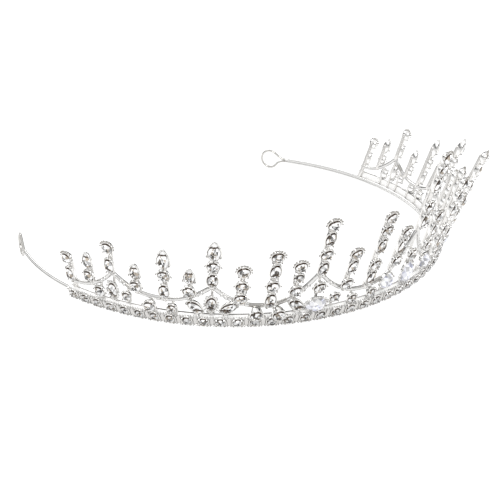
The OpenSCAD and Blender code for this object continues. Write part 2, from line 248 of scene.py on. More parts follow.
# Tones of the plating, which are painted light: what a face throws back against the rest, painted into its
# colour as highlights, reflections and shade, as a colour to multiply by
WHITE = (1.0, 1.0, 1.0)
PAINTED_SHEEN_TONE = (1.3, 1.3, 1.3)
LIP_HIGHLIGHT_TONE = (1.25, 1.24, 1.22)
HOLLOW_SHADE_TONE = (0.27, 0.26, 0.24)
PRONG_TIP_REFLECTION_TONE = (0.5, 0.48, 0.46)
TIP_GRAIN_REFLECTION_TONE = (0.62, 0.6, 0.57)
BAR_TONE = (1.1, 1.09, 1.08)
WIRE_REFLECTION_TONE = (0.66, 0.65, 0.63)
LOOP_REFLECTION_TONE = (0.75, 0.74, 0.72)
STRIP_TONE = (1.08, 1.08, 1.08)
STUD_TONE = (0.95, 0.94, 0.93)
LOW_CLAW_SHADE_TONE = (0.35, 0.34, 0.33)
LOW_GRAIN_SHADE_TONE = (0.7, 0.69, 0.68)
EDGE_TONE = (0.8, 0.79, 0.78)
EDGE_DARK_REFLECTION_TONE = (0.2, 0.19, 0.18)

# Painted reflections of the stones: the light and dark that each facet throws back, painted into its
# colour, as ranges to draw from
DARK, DEEP, MID, BRIGHT = (0.0, 0.02), (0.06, 0.16), (0.28, 0.5), (0.72, 1.0)
HEART_TONES = (DARK, DARK, DEEP, MID, BRIGHT)
TABLE_TONES = (DEEP, MID, MID, BRIGHT, BRIGHT)
CREST_TONES = (BRIGHT,)
UPPER_TONES = (DEEP, MID, BRIGHT, BRIGHT)
LOWER_TONES = (MID, BRIGHT, BRIGHT, BRIGHT, BRIGHT)
CLEAR_TONES = ((0.35, 0.5), (0.6, 0.75), (0.75, 0.9), (0.85, 1.0))
# How strongly a facet of a clear stone takes the cool tint
CLEAR_CASTS = (0.0, 0.4, 1.0, 2.2)
# Heights on the stone, where its top is at 1, from which facets are crest and upper ones
CREST_FROM, UPPER_FROM = 0.72, 0.3
# Facets darker than this take the warm tint, by this chance
AMBER_BELOW, AMBER_CHANCE = 0.5, 0.5
# How much light each cut throws back, where that isn't all
TONE_SHARE = {"band": 0.72, "small": 0.85, "round": 0.92}

# Brown of the painted shade lines on a foiled stone. Distances are against half its width and length, so
# its rim is at 1, and levels are their squares
SHADOW = (0.035, 0.02, 0.01)
# The painted shadow arc under the upper edge, round a middle that is moved aside and down
ARC_ASIDE, ARC_DROP = 0.06, 0.15
ARC_LEVELS = (0.97, 1.25)
# How far the arc is drawn down from the point of a pear
ARC_STRETCH = {"pear": 1.2, "long_pear": 1.25}
# The fainter line of painted shade inside the rim
RIM_LINE_LEVELS = (0.86, 1.1)
RIM_LINE_SHARE = 0.4
# The fold, a painted dark line across a stone at least this long against its width: how low it lies below
# the middle, how much its ends bend down, and its width
FOLDED_FROM = 1.1
FOLD_DROP = 0.2
FOLD_BEND = 0.8
FOLD_W = 0.22
# Added to the measure along such a stone, so that nought means a stone without a fold
FOLD_SHIFT = 2.0


def heading(s):
    """Direction of the band, in radians, at a place along it."""
    turned = min(abs(s), FRONT_HALF) / FRONT_R + max(abs(s) - FRONT_HALF, 0) / SIDE_R
    return math.copysign(turned, s)


def plan_point(s, inset=0.0):
    """Point of the band's outer lower edge, moved inwards on the level."""
    f = heading(s)
    if abs(s) <= FRONT_HALF:
        return (FRONT_R - inset) * math.sin(f), -(FRONT_R - inset) * math.cos(f)
    r = SIDE_R - inset
    return math.copysign(1, s) * SIDE_CENTRE[0] + r * math.sin(f), SIDE_CENTRE[1] - r * math.cos(f)


# The eyelets reach below the band, so the piece stands on them and on the front of the band
EYELET_DROP = EYELET_R + STRAND_D / 2 - WIRE_Z
SEAT_TILT = math.atan(EYELET_DROP / (plan_point(EYELET_AT, WIRE_INSET)[1] + FRONT_R))
SEATED = (
    Matrix.Scale(MM, 4)
    @ Matrix.Translation((0, -FRONT_R, 0))
    @ Matrix.Rotation(SEAT_TILT, 4, "X")
    @ Matrix.Translation((0, FRONT_R, 0))
)


def on_rim(s, h=0.0, depth=0.0):
    """Place on the band: X along it, Z up the flare, -Y out of the front."""
    outwards = h * math.sin(FLARE) - depth * math.cos(FLARE)
    x, y = plan_point(s, -outwards)
    z = h * math.cos(FLARE) + depth * math.sin(FLARE)
    return (
        SEATED
        @ Matrix.Translation((x, y, z))
        @ Matrix.Rotation(heading(s), 4, "Z")
        @ Matrix.Rotation(FLARE, 4, "X")
    )


def between_spires(s, column):
    """Value of one column of the spires at any place, taken between its two neighbours."""
    a = abs(s)
    for near, far in zip(SPIRE_ROWS, SPIRE_ROWS[1:]):
        if a <= far[0]:
            return near[column] + (far[column] - near[column]) * (a - near[0]) / (far[0] - near[0])
    return SPIRE_ROWS[-1][column]


def on_spray(s, h=0.0, depth=0.0, turn=0.0):
    """Place above the band, where the casting has leans of its own."""
    x, y = plan_point(s)
    sideways = math.copysign(math.radians(between_spires(s, SIDE_LEAN)), -s) if s else 0.0
    return (
        SEATED
        @ Matrix.Translation((x, y, 0))
        @ Matrix.Rotation(heading(s), 4, "Z")
        @ Matrix.Rotation(math.radians(between_spires(s, OUT_LEAN)), 4, "X")
        @ Matrix.Rotation(sideways, 4, "Y")
        @ Matrix.Translation((0, depth, h))
        @ Matrix.Rotation(turn, 4, "Y")
    )


def inwards_of(place):
    """The way that a place's Y axis points in the scene."""
    return (place.to_3x3() @ Vector((0, 1, 0))).normalized()


def swag(u, low, left, right):
    """Height of a sagging wire at u, from -1 at its left end to 1 at its right."""
    return low + ((left if u < 0 else right) - low) * abs(u) ** SWAG_POWER


def festoon_h(s):
    """Height of the festoon wire at a place along the band."""
    a = abs(s)
    k = max(i for i, peak in enumerate(PEAKS) if a >= peak[0])
    at, peak_h = PEAKS[k]
    if k == len(PEAKS) - 1:
        return swag((a - LAST_SPIRE_AT) / (LAST_SPIRE_AT - at), FESTOON_END_H, peak_h, peak_h)
    next_at, next_h = PEAKS[k + 1]
    middle, half = (at + next_at) / 2, (next_at - at) / 2
    return swag((a - middle) / half, SWAG_LOWS[k], peak_h, next_h)


def both_sides(rows):
    """Each row of a mirrored table with the side it is on; a row at the centre comes once."""
    left = [(-1, row) for row in reversed(rows) if row[0]]
    return left + [(1, row) for row in rows]


def swell_of(cut):
    """How much fuller a cut is than its plain solid."""
    return SWELL.get(cut, PLAIN_SWELL)


def narrowing(cut, height):
    """Share of its width that a cut keeps at a height, from -1 at the foot to 1 at the top."""
    return 1 - PEAR_NARROWING * height if cut in PEARS and height > 0 else 1


def outline(cut, count, grow=0.0, scale=1.0, start=0.0):
    """Points round a stone of this cut, as (across, up)."""
    w, l = CUTS[cut]
    power = CUSHION_POWER.get(cut, 1.0)
    fill = swell_of(cut) * scale
    points = []
    for i in range(count):
        t = math.tau * (i + start) / count
        c = math.copysign(abs(math.cos(t)) ** power, math.cos(t))
        s = math.copysign(abs(math.sin(t)) ** power, math.sin(t))
        points.append(((w / 2 + grow) * fill * c * narrowing(cut, s), (l / 2 + grow) * fill * s))
    return points


def wall_point(cut, angle):
    """Point of a setting's wall at an angle from the right, in degrees, and the way out from there."""
    w, l = CUTS[cut]
    c, s = math.cos(math.radians(angle)), math.sin(math.radians(angle))
    across = (w / 2 + RIM) * swell_of(cut) * c * narrowing(cut, s)
    up = (l / 2 + RIM) * swell_of(cut) * s
    return Vector((across, 0, up)), Vector((c * l, 0, s * w)).normalized()


class Shape:
    """Points and faces of one joined mesh, with a tone of painted light for each face and a spot for each
    point.
    """

    # Steps of a domed end and of a grain, from the middle out
    DOME = (0.35, 0.7, 0.98)
    GRAIN = (-0.95, -0.6, 0.0, 0.6, 0.95)
    # Faces that meet at more than this keep a sharp edge
    SHARP = math.radians(50)

    def __init__(self):
        self.points = []
        self.faces = []
        self.tones = []
        self.spots = []

    def solid(self, place, points, faces, tones, spots=None):
        """Adds points and faces; place takes the points to the scene."""
        base = len(self.points)
        self.points += [place @ Vector(p) for p in points]
        self.spots += spots or [(0.0, 0.0, 0.0)] * len(points)
        self.faces += [tuple(base + i for i in face) for face in faces]
        self.tones += tones

    def skin(self, place, rings, tones, closed=False):
        """Skins rings that hold the same number of points, and closes the ends or the loop."""
        n, count = len(rings[0]), len(rings)
        faces, shades = [], []
        for i in range(count if closed else count - 1):
            k = (i + 1) % count
            for j in range(n):
                faces.append((i * n + j, i * n + (j + 1) % n, k * n + (j + 1) % n, k * n + j))
                shades.append(tones[i])
        if not closed:
            faces += [tuple(range(n)), tuple(range((count - 1) * n, count * n))]
            shades += [tones[0], tones[-1]]
        self.solid(place, [p for ring in rings for p in ring], faces, shades)

    def sweep(self, points, normals, radii, tones, sides, closed=False):
        """A round wire through points in the scene's space, with a normal at each."""
        count = len(points)
        angles = [math.tau * j / sides for j in range(sides)]
        rings = []
        for i, p in enumerate(points):
            ahead = points[(i + 1) % count] if closed else points[min(i + 1, count - 1)]
            behind = points[i - 1] if closed else points[max(i - 1, 0)]
            along = (ahead - behind).normalized()
            n = (normals[i] - along * normals[i].dot(along)).normalized()
            b = along.cross(n)
            r = radii[i]
            rings.append([p + n * (r * math.cos(t)) + b * (r * math.sin(t)) for t in angles])
        self.skin(Matrix.Identity(4), rings, tones, closed)

    def rod(self, place, path, radii, tones, sides):
        """A round rod with domed ends along points in a local frame."""
        path = [Vector(p) for p in path]
        first = (path[1] - path[0]).normalized()
        last = (path[-1] - path[-2]).normalized()
        start = [(path[0] - first * (radii[0] * x), radii[0] * math.sqrt(1 - x * x)) for x in self.DOME]
        end = [(path[-1] + last * (radii[-1] * x), radii[-1] * math.sqrt(1 - x * x)) for x in self.DOME]
        domed = start[::-1] + list(zip(path, radii)) + end
        shades = [tones[0]] * len(start) + list(tones) + [tones[-1]] * len(end)
        side = Vector((0, 1, 0)) if abs(first.y) < 0.9 else Vector((1, 0, 0))
        normals = [place.to_3x3() @ side] * len(domed)
        scale = place.to_scale()[0]
        self.sweep([place @ p for p, _ in domed], normals, [r * scale for _, r in domed], shades, sides)

    def bead(self, place, centre, radius, tone=WHITE, sides=8):
        """A small round grain."""
        angles = [math.tau * j / sides for j in range(sides)]
        rings = []
        for level in self.GRAIN:
            r = radius * math.sqrt(1 - level * level)
            rings.append([
                Vector(centre) + Vector((r * math.cos(t), radius * level, r * math.sin(t))) for t in angles
            ])
        self.skin(place, rings, [tone] * len(rings))

    def piece(self, name, finish, nodes, smooth=True):
        """Makes the object, gives it its finish and has it stand for its nodes."""
        mesh = bpy.data.meshes.new(name)
        mesh.from_pydata(self.points, [], self.faces)
        tone = mesh.color_attributes.new("tone", "FLOAT_COLOR", "CORNER")
        corners = [c for face, shade in zip(self.faces, self.tones) for _ in face for c in (*shade, 1.0)]
        tone.data.foreach_set("color", corners)
        spot = mesh.attributes.new("spot", "FLOAT_VECTOR", "POINT")
        spot.data.foreach_set("vector", [c for place in self.spots for c in place])
        bm = bmesh.new()
        bm.from_mesh(mesh)
        bmesh.ops.recalc_face_normals(bm, faces=bm.faces)
        bm.to_mesh(mesh)
        bm.free()
        if smooth:
            mesh.shade_smooth()
            mesh.set_sharp_from_angle(angle=self.SHARP)
        mesh.materials.append(finish)
        obj = bpy.data.objects.new(name, mesh)
        bpy.context.scene.collection.objects.link(obj)
        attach(obj, BODY)
        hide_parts(*nodes)


class Value:
    """A shader number that takes part in Python's arithmetic."""

    def __init__(self, nodes, socket):
        self.nodes = nodes
        self.socket = socket

    def math(self, operation, a, b):
        return self.nodes.add("ShaderNodeMath", {"operation": operation}, {0: a, 1: b})

    def __add__(self, other):
        return self.math("ADD", self, other)

    def __radd__(self, other):
        return self.math("ADD", other, self)

    def __sub__(self, other):
        return self.math("SUBTRACT", self, other)

    def __rsub__(self, other):
        return self.math("SUBTRACT", other, self)

    def __mul__(self, other):
        return self.math("MULTIPLY", self, other)

    def __rmul__(self, other):
        return self.math("MULTIPLY", other, self)

    def __pow__(self, other):
        return self.math("POWER", self, other)

    def between(self, low, high):
        """One where this is over low and not over high, and nought elsewhere."""
        over_low = self.math("GREATER_THAN", self, low)
        return over_low * (1.0 - self.math("GREATER_THAN", self, high))


class Nodes:
    """The nodes of one material or world."""

    def __init__(self, owner):
        owner.use_nodes = True
        self.tree = owner.node_tree
        self.tree.nodes.clear()

    def add(self, kind, settings=None, inputs=None, output=0):
        """Adds a node: its settings first, then the values or links of its sockets."""
        node = self.tree.nodes.new(kind)
        for key, value in (settings or {}).items():
            if key == "stops":
                self.set_stops(node.color_ramp, value)
            else:
                setattr(node, key, value)
        for key, value in (inputs or {}).items():
            if isinstance(value, Value):
                self.tree.links.new(value.socket, node.inputs[key])
            else:
                node.inputs[key].default_value = value
        return Value(self, node.outputs[output]) if node.outputs else None

    @staticmethod
    def set_stops(ramp, stops):
        while len(ramp.elements) < len(stops):
            ramp.elements.new(0.5)
        for element, (at, colour) in zip(ramp.elements, stops):
            element.position = at
            element.color = (*colour, 1.0)

    def noise(self, scale, detail=2.0, roughness=0.5):
        """Noise over the piece's own coordinates."""
        where = self.add("ShaderNodeTexCoord", output="Object")
        inputs = {"Vector": where, "Scale": scale, "Detail": detail, "Roughness": roughness}
        return self.add("ShaderNodeTexNoise", {}, inputs)

    def tone(self):
        """The tone of painted light stored for each face."""
        return self.add("ShaderNodeVertexColor", {"layer_name": "tone"}, output="Color")

    def spot(self):
        """Where a point lies on its stone: across, up, and along a cut that shows the painted fold."""
        spot = self.add("ShaderNodeAttribute", {"attribute_name": "spot"}, output="Vector")
        return [self.add("ShaderNodeSeparateXYZ", {}, {"Vector": spot}, output=axis) for axis in "XYZ"]

    def mix(self, share, a, b, blend="MIX"):
        """Mixes two colours, whose sockets come after a Mix node's number and vector ones."""
        inputs = {"Factor": share, 6: a, 7: b}
        return self.add("ShaderNodeMix", {"data_type": "RGBA", "blend_type": blend}, inputs, output=2)

    def ramp(self, share, stops):
        """Colours along a number, with stops as (position, colour)."""
        return self.add("ShaderNodeValToRGB", {"stops": stops}, {"Fac": share})

    def principled(self, inputs):
        """The shader of a material, joined to its output."""
        shader = self.add("ShaderNodeBsdfPrincipled", {}, inputs)
        self.add("ShaderNodeOutputMaterial", {}, {"Surface": shader})


def rgb(colour, share=1.0):
    """A colour as a node's socket holds it."""
    return (colour[0] * share, colour[1] * share, colour[2] * share, 1.0)


def plated_silver(name, colour, roughness, grain, relief, metallic=1.0):
    """Silver plating: soft mottling and a fine skin, with the painted light of each face's tone."""
    material = bpy.data.materials.get(name)
    if material:
        return material
    material = bpy.data.materials.new(name)
    nodes = Nodes(material)
    cloud = nodes.noise(scale=220.0, detail=3.0)
    skin = nodes.noise(scale=grain, roughness=0.6)
    plated = nodes.mix(cloud, rgb(colour, 0.9), rgb(colour))
    toned = nodes.mix(1.0, plated, nodes.tone(), "MULTIPLY")
    relief_inputs = {"Strength": relief, "Distance": 0.1 * MM, "Height": skin}
    bump = nodes.add("ShaderNodeBump", {}, relief_inputs, output="Normal")
    uneven = 0.12
    nodes.principled({
        "Base Color": toned,
        "Metallic": metallic,
        "Roughness": roughness + uneven * cloud * skin,
        "Normal": bump,
    })
    return material


def cast_silver(colours):
    """Bright plate over the castings."""
    return plated_silver("cast_silver_plate", colours.silver, roughness=0.14, grain=2600.0, relief=0.1)


def satin_silver(colours):
    """Duller plate of the strip behind the band's settings."""
    return plated_silver(
        "satin_silver_plate", colours.wire, roughness=0.42, grain=2600.0, relief=0.1, metallic=0.3)


def drawn_wire(colours):
    """Smooth plate of the headband wire."""
    return plated_silver("drawn_wire_plate", colours.wire, roughness=0.12, grain=1500.0, relief=0.02)


def painted_shade_lines(nodes, glass):
    """Glass with painted shade: the shadow arc under the upper edge, the line inside the rim and the fold
    that a foiled stone shows.
    """
    across, up, along = nodes.spot()
    lower_edge = (across - ARC_ASIDE) ** 2.0 + (up + ARC_DROP) ** 2.0
    arc = lower_edge.between(*ARC_LEVELS)
    fold = (along - FOLD_SHIFT + FOLD_DROP + FOLD_BEND * across ** 2.0).between(0.0, FOLD_W)
    rim_line = (across ** 2.0 + up ** 2.0).between(*RIM_LINE_LEVELS)
    lined = nodes.mix(RIM_LINE_SHARE * rim_line, glass, rgb(SHADOW))
    return nodes.mix(arc + fold, lined, rgb(SHADOW))


def cut_glass(name, metallic, roughness, coat, foiled):
    """Cut glass: each facet is painted with the tone that it throws back, and a foiled stone with its
    painted shade lines.
    """
    material = bpy.data.materials.get(name)
    if material:
        return material
    material = bpy.data.materials.new(name)
    nodes = Nodes(material)
    speck = nodes.noise(scale=1400.0)
    cloudy = nodes.mix(speck, rgb(WHITE, 0.8), rgb(WHITE))
    toned = nodes.mix(1.0, cloudy, nodes.tone(), "MULTIPLY")
    uneven = 0.08
    nodes.principled({
        "Base Color": painted_shade_lines(nodes, toned) if foiled else toned,
        "Metallic": metallic,
        "Roughness": roughness + uneven * speck,
        "Specular IOR Level": 0.3,
        "Coat Weight": coat,
        "Coat Roughness": 0.02,
        "IOR": 1.55,
    })
    return material


def foiled_rhinestone():
    """Small glass stones with a mirrored back."""
    return cut_glass("foiled_rhinestone", metallic=0.25, roughness=0.08, coat=0.12, foiled=True)


def clear_crystal():
    """Large clear stones."""
    return cut_glass("clear_crystal", metallic=0.15, roughness=0.06, coat=1.0, foiled=False)


class TiaraSizes(bpy.types.PropertyGroup):
    """Sizes of the fine work on the settings."""
    prong_d: FloatProperty(
        name="Prong", description="Thickness of a prong",
        default=0.46 * MM, min=0.3 * MM, max=0.7 * MM, unit="LENGTH")
    lip_h: FloatProperty(
        name="Lip", description="Height of a setting's lip in front of its cup",
        default=0.36 * MM, min=0.2 * MM, max=0.6 * MM, unit="LENGTH")
    grain_d: FloatProperty(
        name="Grain", description="Diameter of the grains along the band",
        default=0.5 * MM, min=0.3 * MM, max=0.7 * MM, unit="LENGTH")
    cup_sides: IntProperty(
        name="Cup Sides", description="Points round each setting",
        default=24, min=12, max=48)
    grains_per_stone: IntProperty(
        name="Grains", description="Grains for each stone along an edge of the band",
        default=6, min=3, max=8)


class TiaraColours(bpy.types.PropertyGroup):
    """Colours of the metal, the stones and the studio."""
    silver: FloatVectorProperty(
        name="Silver", description="Colour of the plated casting",
        subtype="COLOR", default=(0.7, 0.695, 0.685))
    wire: FloatVectorProperty(
        name="Wire", description="Colour of the headband wire and the band's strip",
        subtype="COLOR", default=(0.78, 0.775, 0.765))
    amber: FloatVectorProperty(
        name="Amber", description="Warm tint in the dark facets",
        subtype="COLOR", default=(1.0, 0.88, 0.74))
    ice: FloatVectorProperty(
        name="Ice", description="Cool tint of the large clear stones",
        subtype="COLOR", default=(0.91, 0.92, 1.0))
    floor: FloatVectorProperty(
        name="Floor", description="Colour of the floor",
        subtype="COLOR", default=(0.2, 0.2, 0.2))


def cup_rings(back, lip):
    """Rings of a setting from the crown of its back to the hollow under its stone.

    Each ring is (depth, distance off the stone, share of the width, tone); the tone paints a sheen on the
    back, a highlight on the lip and shade in the hollow.
    """
    dome = [(back * y, RIM, math.sqrt(1 - y * y), PAINTED_SHEEN_TONE) for y in (0.985, 0.9, 0.75, 0.55, 0.3, 0.0)]
    rolled_lip = [
        (-0.6 * lip, RIM + 0.03, 1.0, LIP_HIGHLIGHT_TONE),
        (-0.92 * lip, 0.85 * RIM, 1.0, LIP_HIGHLIGHT_TONE),
        (-lip, 0.5 * RIM, 1.0, LIP_HIGHLIGHT_TONE),
    ]
    hollow = [
        (-0.85 * lip, 0.04, 1.0, HOLLOW_SHADE_TONE),
        (0.0, -0.06, 1.0, HOLLOW_SHADE_TONE),
        (0.45 * back, -0.2, 0.6, HOLLOW_SHADE_TONE),
    ]
    return dome + rolled_lip + hollow


def add_cup(shape, sizes, place, cut, kind=None, back=CUP_BACK - CUP_FRONT):
    """A stone's setting: domed back, wall, rolled lip, prongs and grains."""
    kind = kind or cut
    rows = cup_rings(back, sizes.lip_h / MM)
    rings = [[(x, y, z) for x, z in outline(cut, sizes.cup_sides, off, share)] for y, off, share, _ in rows]
    shape.skin(place, rings, [tone for _, _, _, tone in rows])
    add_prongs(shape, place, cut, kind, sizes.prong_d / MM / 2)
    for angle in CROWN_GRAINS.get(kind, ()):
        wall, out = wall_point(cut, angle)
        stand = GRAIN_STAND[kind]
        # Grains round a spire's tip are painted darker, a painted dark reflection
        tone = TIP_GRAIN_REFLECTION_TONE if kind == "tip" else WHITE
        radius = sizes.grain_d / MM / 2 + stand * GRAIN_SWELL
        shape.bead(place, wall + out * stand + Vector((0, GRAIN_DEPTH, 0)), radius, tone)


def prong_path(reach, radius):
    """Path of a prong from inside the setting's wall to its tip, as (way out from the wall, depth)."""
    if reach > EAR_REACH:
        return (-0.15, 0.2), (0.2, -0.1), (reach - radius, -0.3)
    return (-0.05, 0.3), (0.6 * reach, -0.2), (reach, -0.55), (reach - 0.28, -0.78)


def add_prongs(shape, place, cut, kind, radius):
    """Prongs round a setting, from its wall over the stone's edge, some standing out as ears."""
    for angle, reach in PRONGS[kind]:
        wall, out = wall_point(cut, angle)
        points = [wall + out * way + Vector((0, y, 0)) for way, y in prong_path(reach, radius)]
        radii = [radius] * (len(points) - 1) + [radius * PRONG_TAPER]
        # The tip of each prong is painted darker, a painted dark reflection
        tones = [WHITE] * (len(points) - 1) + [PRONG_TIP_REFLECTION_TONE]
        shape.rod(place, points, radii, tones, sides=6)


def add_bar(shape, s, foot, top, foot_r=BAR_FOOT_R, top_r=BAR_TOP_R):
    """A smooth round bar up the casting."""
    shares = [i / 6 for i in range(7)]
    path = [(0, 0, (top - foot) * share) for share in shares]
    radii = [foot_r + (top_r - foot_r) * share for share in shares]
    # The bar is painted a little brighter, a painted sheen
    shape.rod(on_spray(s, foot, BAR_DEPTH), path, radii, [BAR_TONE] * len(path), sides=10)


def facet_tone(rng, colours, up, level, clear):
    """The tone that a facet throws back, painted as its reflection; up says how high it lies on the stone.
    """
    if clear:
        tone = rng.uniform(*rng.choice(CLEAR_TONES))
        cast = rng.choice(CLEAR_CASTS)
        return tuple(min(1.0, tone * (1 + (c - 1) * cast)) for c in colours.ice)
    if level == "heart":
        ranges = HEART_TONES
    elif level in ("table", "star"):
        ranges = TABLE_TONES
    elif up > CREST_FROM:
        ranges = CREST_TONES
    elif up > UPPER_FROM:
        ranges = UPPER_TONES
    else:
        ranges = LOWER_TONES
    tone = rng.uniform(*rng.choice(ranges))
    if tone < AMBER_BELOW and rng.random() < AMBER_CHANCE:
        return tuple(tone * c for c in colours.amber)
    return (tone, tone, tone)


def cut_points(cut):
    """Points of a cut stone from the middle of its table to its point, and where each ring starts."""
    rise = min(CUTS[cut]) * STONE_RISE
    sink = min(CUTS[cut]) * STONE_SINK
    # Rings as level, depth, points, share of the width, and how far round the first point is
    rings = (
        ("heart", -rise, MAINS, 0.26, 0.5),
        ("table", -rise, MAINS, TABLE_SHARE, 0.0),
        ("star", -rise * 0.66, MAINS, 0.81, 0.5),
        ("girdle", -rise * 0.16, 2 * MAINS, 1.0, 0.0),
        ("edge", 0.0, 2 * MAINS, 1.0, 0.0),
        ("lower", sink * 0.55, MAINS, 0.5, 0.5),
    )
    points, starts = [(0, -rise, 0)], {}
    for level, y, count, share, first in rings:
        starts[level] = len(points)
        points += [(x, y, z) for x, z in outline(cut, count, scale=share, start=first)]
    starts["culet"] = len(points)
    points.append((0, sink, 0))
    return points, starts


def cut_facets(starts):
    """Facets of a cut stone as (level, points), main by main round it."""
    heart, table, star = starts["heart"], starts["table"], starts["star"]
    girdle, edge, lower = starts["girdle"], starts["edge"], starts["lower"]
    facets = []
    for i in range(MAINS):
        before, after = (i - 1) % MAINS, (i + 1) % MAINS
        a, b, c = 2 * i, 2 * i + 1, (2 * i + 2) % (2 * MAINS)
        facets += [
            ("heart", (0, heart + before, heart + i)),
            ("heart", (heart + before, table + i, heart + i)),
            ("table", (heart + i, table + i, table + after)),
            ("star", (table + i, star + i, table + after)),
            ("kite", (table + i, star + before, girdle + a, star + i)),
            ("girdle", (star + i, girdle + a, girdle + b)),
            ("girdle", (star + i, girdle + b, girdle + c)),
            ("edge", (girdle + a, edge + a, edge + b, girdle + b)),
            ("edge", (girdle + b, edge + b, edge + c, girdle + c)),
            ("lower", (edge + a, lower + i, edge + b)),
            ("lower", (edge + b, lower + i, edge + c)),
            ("lower", (edge + a, lower + before, starts["culet"], lower + i)),
        ]
    return facets


def cut_spots(points, cut, turn):
    """Where each point lies for the painted shade lines: across and up with the stone upright, and along
    it.
    """
    w, l = CUTS[cut]
    folded = l > FOLDED_FROM * w and cut not in PEARS
    stretch = 0.0 if cut in CLEAR_CUTS else ARC_STRETCH.get(cut, 1.0)
    fit = 1.0 / swell_of(cut)
    upright = Matrix.Rotation(turn, 2)
    spots = []
    for x, _, z in points:
        across, up = upright @ Vector((x / (w / 2), z / (l / 2))) * fit
        along = z / (l / 2) * fit + FOLD_SHIFT if folded else 0.0
        spots.append((across * min(stretch, 1.0), up * stretch, along))
    return spots


def add_stone(shape, colours, rng, place, cut, turn=0.0):
    """A cut stone with table, stars, kites, girdle facets and a pavilion that runs to a point."""
    points, starts = cut_points(cut)
    facets = cut_facets(starts)
    half_l = CUTS[cut][1] / 2
    share = TONE_SHARE.get(cut, 1.0)
    tones = []
    # Each facet is painted with its reflection as its tone
    for level, face in facets:
        middle = sum((Vector(points[k]) for k in face), Vector()) / len(face)
        tone = facet_tone(rng, colours, middle.z / half_l, level, cut in CLEAR_CUTS)
        tones.append(tuple(share * c for c in tone))
    shape.solid(place, points, [face for _, face in facets], tones, cut_spots(points, cut, turn))


def stone_place(s, h, turn=0.0, front=CUP_FRONT):
    """Where a stone above the band sits in its setting."""
    return on_spray(s, h, front - SEAT_GAP, turn)


def stone_piece(colours, name, rows, nodes, seed):
    """One joined field of stones; rows are (cut, place), or (cut, place, turn) for a slanting stone."""
    rng = random.Random(seed)
    shape = Shape()
    for cut, place, *turn in rows:
        add_stone(shape, colours, rng, place, cut, *turn)
    if len(rows) == 1 and rows[0][0] in CLEAR_CUTS:
        shape.piece(name, clear_crystal(), nodes, smooth=False)
    else:
        shape.piece(name, foiled_rhinestone(), nodes, smooth=False)


def bend(start, start_way, end, end_way, pull):
    """Points of a curve that leaves one point and comes to another on given ways, without its end."""
    a, d = Vector(start), Vector(end)
    b, c = a + Vector(start_way) * pull, d - Vector(end_way) * pull
    shares = [i / 10 for i in range(10)]
    return [
        a * (1 - t) ** 3 + b * (3 * t * (1 - t) ** 2) + c * (3 * t * t * (1 - t)) + d * t ** 3
        for t in shares
    ]


def eyelet_path(side):
    """One end of the wire: off the upper strand, round the eyelet and back to the lower strand."""
    leave, back = math.radians(128), math.radians(-146)
    on_ring = (EYELET_R * math.cos(leave), EYELET_R * math.sin(leave))
    off_ring = (EYELET_R * math.cos(back), EYELET_R * math.sin(back))
    upper, lower = (-EYELET_NECK, STRAND_LEVEL), (-EYELET_NECK, -STRAND_LEVEL)
    points = bend(upper, (1, 0), on_ring, (math.sin(leave), -math.cos(leave)), pull=2.2)
    steps = 28
    for i in range(steps):
        t = leave + (back - leave) * i / steps
        points.append(Vector((EYELET_R * math.cos(t), EYELET_R * math.sin(t))))
    points += bend(off_ring, (math.sin(back), -math.cos(back)), lower, (-1, 0), pull=1.7)
    points.append(Vector(lower))
    x, y = plan_point(side * EYELET_AT, WIRE_INSET)
    f = heading(side * EYELET_AT)
    place = SEATED @ Matrix.Translation((x, y, WIRE_Z)) @ Matrix.Rotation(f, 4, "Z")
    return [(place @ Vector((side * p.x, 0, p.y)), inwards_of(place)) for p in points]


class TIARA_OT_headband(bpy.types.Operator):
    """One wire bent double, with a loop at each end"""
    bl_idname = "tiara.headband"
    bl_label = "Headband Wire"

    def execute(self, context):
        reach = EYELET_AT - STRAND_END
        steps = 160
        upper, lower = [], []
        for i in range(steps + 1):
            s = -reach + 2 * reach * i / steps
            x, y = plan_point(s, WIRE_INSET)
            f = heading(s)
            inwards = (SEATED.to_3x3() @ Vector((-math.sin(f), math.cos(f), 0))).normalized()
            upper.append((SEATED @ Vector((x, y, WIRE_Z + STRAND_LEVEL)), inwards))
            lower.append((SEATED @ Vector((x, y, WIRE_Z - STRAND_LEVEL)), inwards))
        right_loop, left_loop = eyelet_path(1), eyelet_path(-1)[::-1]
        path = upper + right_loop + lower[::-1] + left_loop
        strand = [WHITE] * len(upper)
        # The eyelet loops are painted darker, a painted dark reflection
        tones = strand + [LOOP_REFLECTION_TONE] * len(right_loop) + strand + [LOOP_REFLECTION_TONE] * len(left_loop)
        points, normals = [p for p, _ in path], [n for _, n in path]
        shape = Shape()
        shape.sweep(points, normals, [STRAND_D / 2 * MM] * len(path), tones, sides=12, closed=True)
        nodes = ("front_wire", "side_wire_left", "side_wire_right", "eyelet_left", "eyelet_right")
        shape.piece("headband_wire", drawn_wire(context.scene.tiara_colours), nodes)
        return {"FINISHED"}


def band_profile():
    """Section of the strip behind the band's cups, with softened corners, as (depth, height)."""
    soft = BAND_SOFTENING
    lean = math.tan(FLARE)
    low_front, low_back = -BAND_FACE * lean, -BAND_BACK * lean
    return (
        (BAND_FACE, low_front + soft),
        (BAND_FACE + soft * 0.3, low_front + soft * 0.2),
        (BAND_FACE + soft, low_front - soft * lean),
        (BAND_BACK - soft, low_back + soft * lean),
        (BAND_BACK - soft * 0.3, low_back + soft * 0.3),
        (BAND_BACK, low_back + soft),
        (BAND_BACK, BAND_H - soft),
        (BAND_BACK - soft * 0.3, BAND_H - soft * 0.3),
        (BAND_BACK - soft, BAND_H),
        (BAND_FACE + soft, BAND_H),
        (BAND_FACE + soft * 0.3, BAND_H - soft * 0.3),
        (BAND_FACE, BAND_H - soft),
    )


